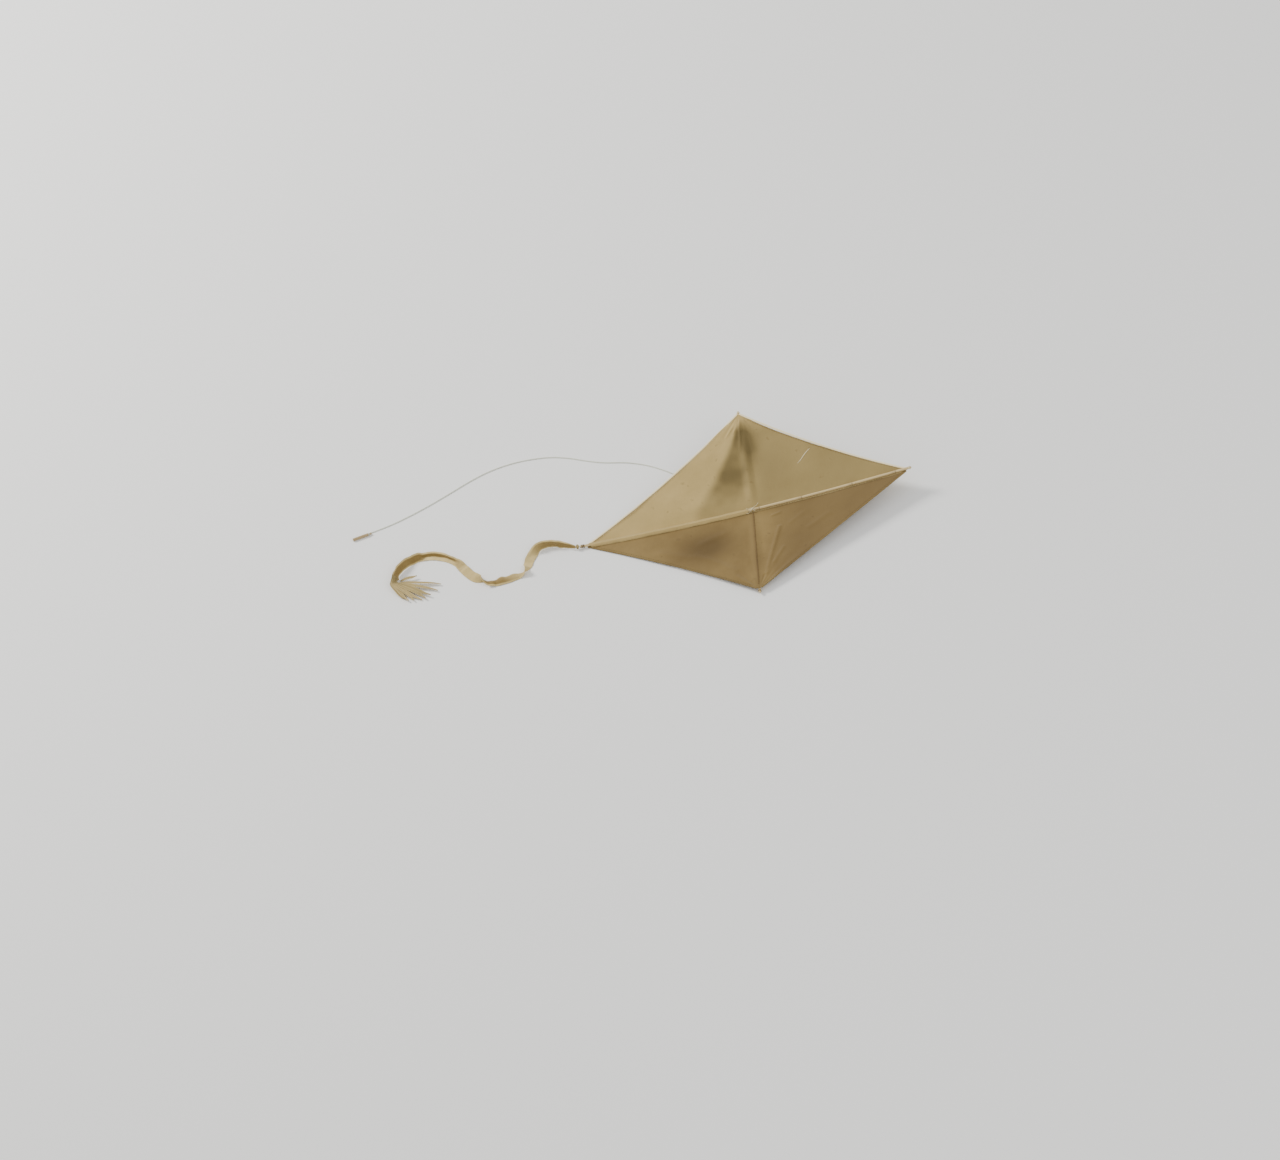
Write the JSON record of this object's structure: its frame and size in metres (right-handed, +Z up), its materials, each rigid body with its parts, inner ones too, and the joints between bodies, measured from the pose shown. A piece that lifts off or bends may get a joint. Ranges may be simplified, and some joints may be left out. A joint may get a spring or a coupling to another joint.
{
  "type": "diamond kite",
  "caption": "Diamond kite with a bowed spine, bent cross spar, hemmed cloth sail, ribbon tail and a flying line on a wooden peg.",
  "frame": {"origin": "on the ground under the crossing of the two sticks, where the flying line is tied", "axes": "+X along the spine to the nose, +Y across to the far wing, +Z up from the ground it lies on"},
  "size_m": [1.5481, 0.6807, 0.1069],
  "materials": {
    "bamboo": "split and scraped bamboo, satin",
    "sail_cloth": "unbleached cotton, worn, matte",
    "near_cloth": "unbleached cotton, browner with age, matte",
    "hem_cloth": "rolled cotton hem, matte",
    "seam_tape": "cotton tape, matte",
    "thread": "waxed linen thread",
    "ribbon": "cotton ribbon, matte",
    "line_cord": "thin cotton cord, pale",
    "peg_wood": "turned wood, oiled"
  },
  "bodies": {
    "kite": {"spine": "bamboo", "cross_spar": "bamboo", "nose_whipping": "thread", "tail_whipping": "thread", "far_wing_whipping": "thread", "near_wing_whipping": "thread", "sail_far": "sail_cloth", "sail_near_tail": "near_cloth", "sail_near_nose": "near_cloth", "spine_tape": "seam_tape", "near_seam": "seam_tape", "nose_patch": "sail_cloth", "tail_patch": "sail_cloth", "far_wing_patch": "sail_cloth", "near_wing_patch": "near_cloth", "crossing_patch": "sail_cloth", "hem_far_nose": "hem_cloth", "hem_far_tail": "hem_cloth", "hem_near_tail": "hem_cloth", "hem_near_nose": "hem_cloth", "edge_cord_far_nose": "line_cord", "edge_cord_far_tail": "line_cord", "edge_cord_near_tail": "line_cord", "edge_cord_near_nose": "line_cord", "crossing_lashing": "thread", "tow_loop": "line_cord", "tail_loop": "thread"},
    "tail_knot": {"tail_knot": "ribbon"},
    "tail": {"tail_ribbon": "ribbon", "tail_strips": "ribbon"},
    "line": {"flying_line": "line_cord", "line_knot": "line_cord"},
    "peg": {"line_peg": "peg_wood", "peg_hitch": "line_cord"}
  },
  "joints": [
    {"name": "tail_swing", "type": "hinge", "parent": "kite", "child": "tail_knot", "pos_m": [-0.48563, -0.00461, 0.0081], "axis": [0, 0, 1], "range_deg": [-20, 50]},
    {"name": "tail_lift", "type": "hinge", "parent": "tail_knot", "child": "tail", "pos_m": [-0.48563, -0.00461, 0.0081], "axis": [0, 1, 0], "range_deg": [0, 60]},
    {"name": "line_swing", "type": "hinge", "parent": "kite", "child": "line", "pos_m": [-0.0104, 0.0104, 0.0011], "axis": [0, 0, 1], "range_deg": [-90, 0]},
    {"name": "peg_swing", "type": "hinge", "parent": "line", "child": "peg", "pos_m": [-1.06205, 0.20883, 0.0018], "axis": [0, 0, 1], "range_deg": [-75, 0]}
  ]
}
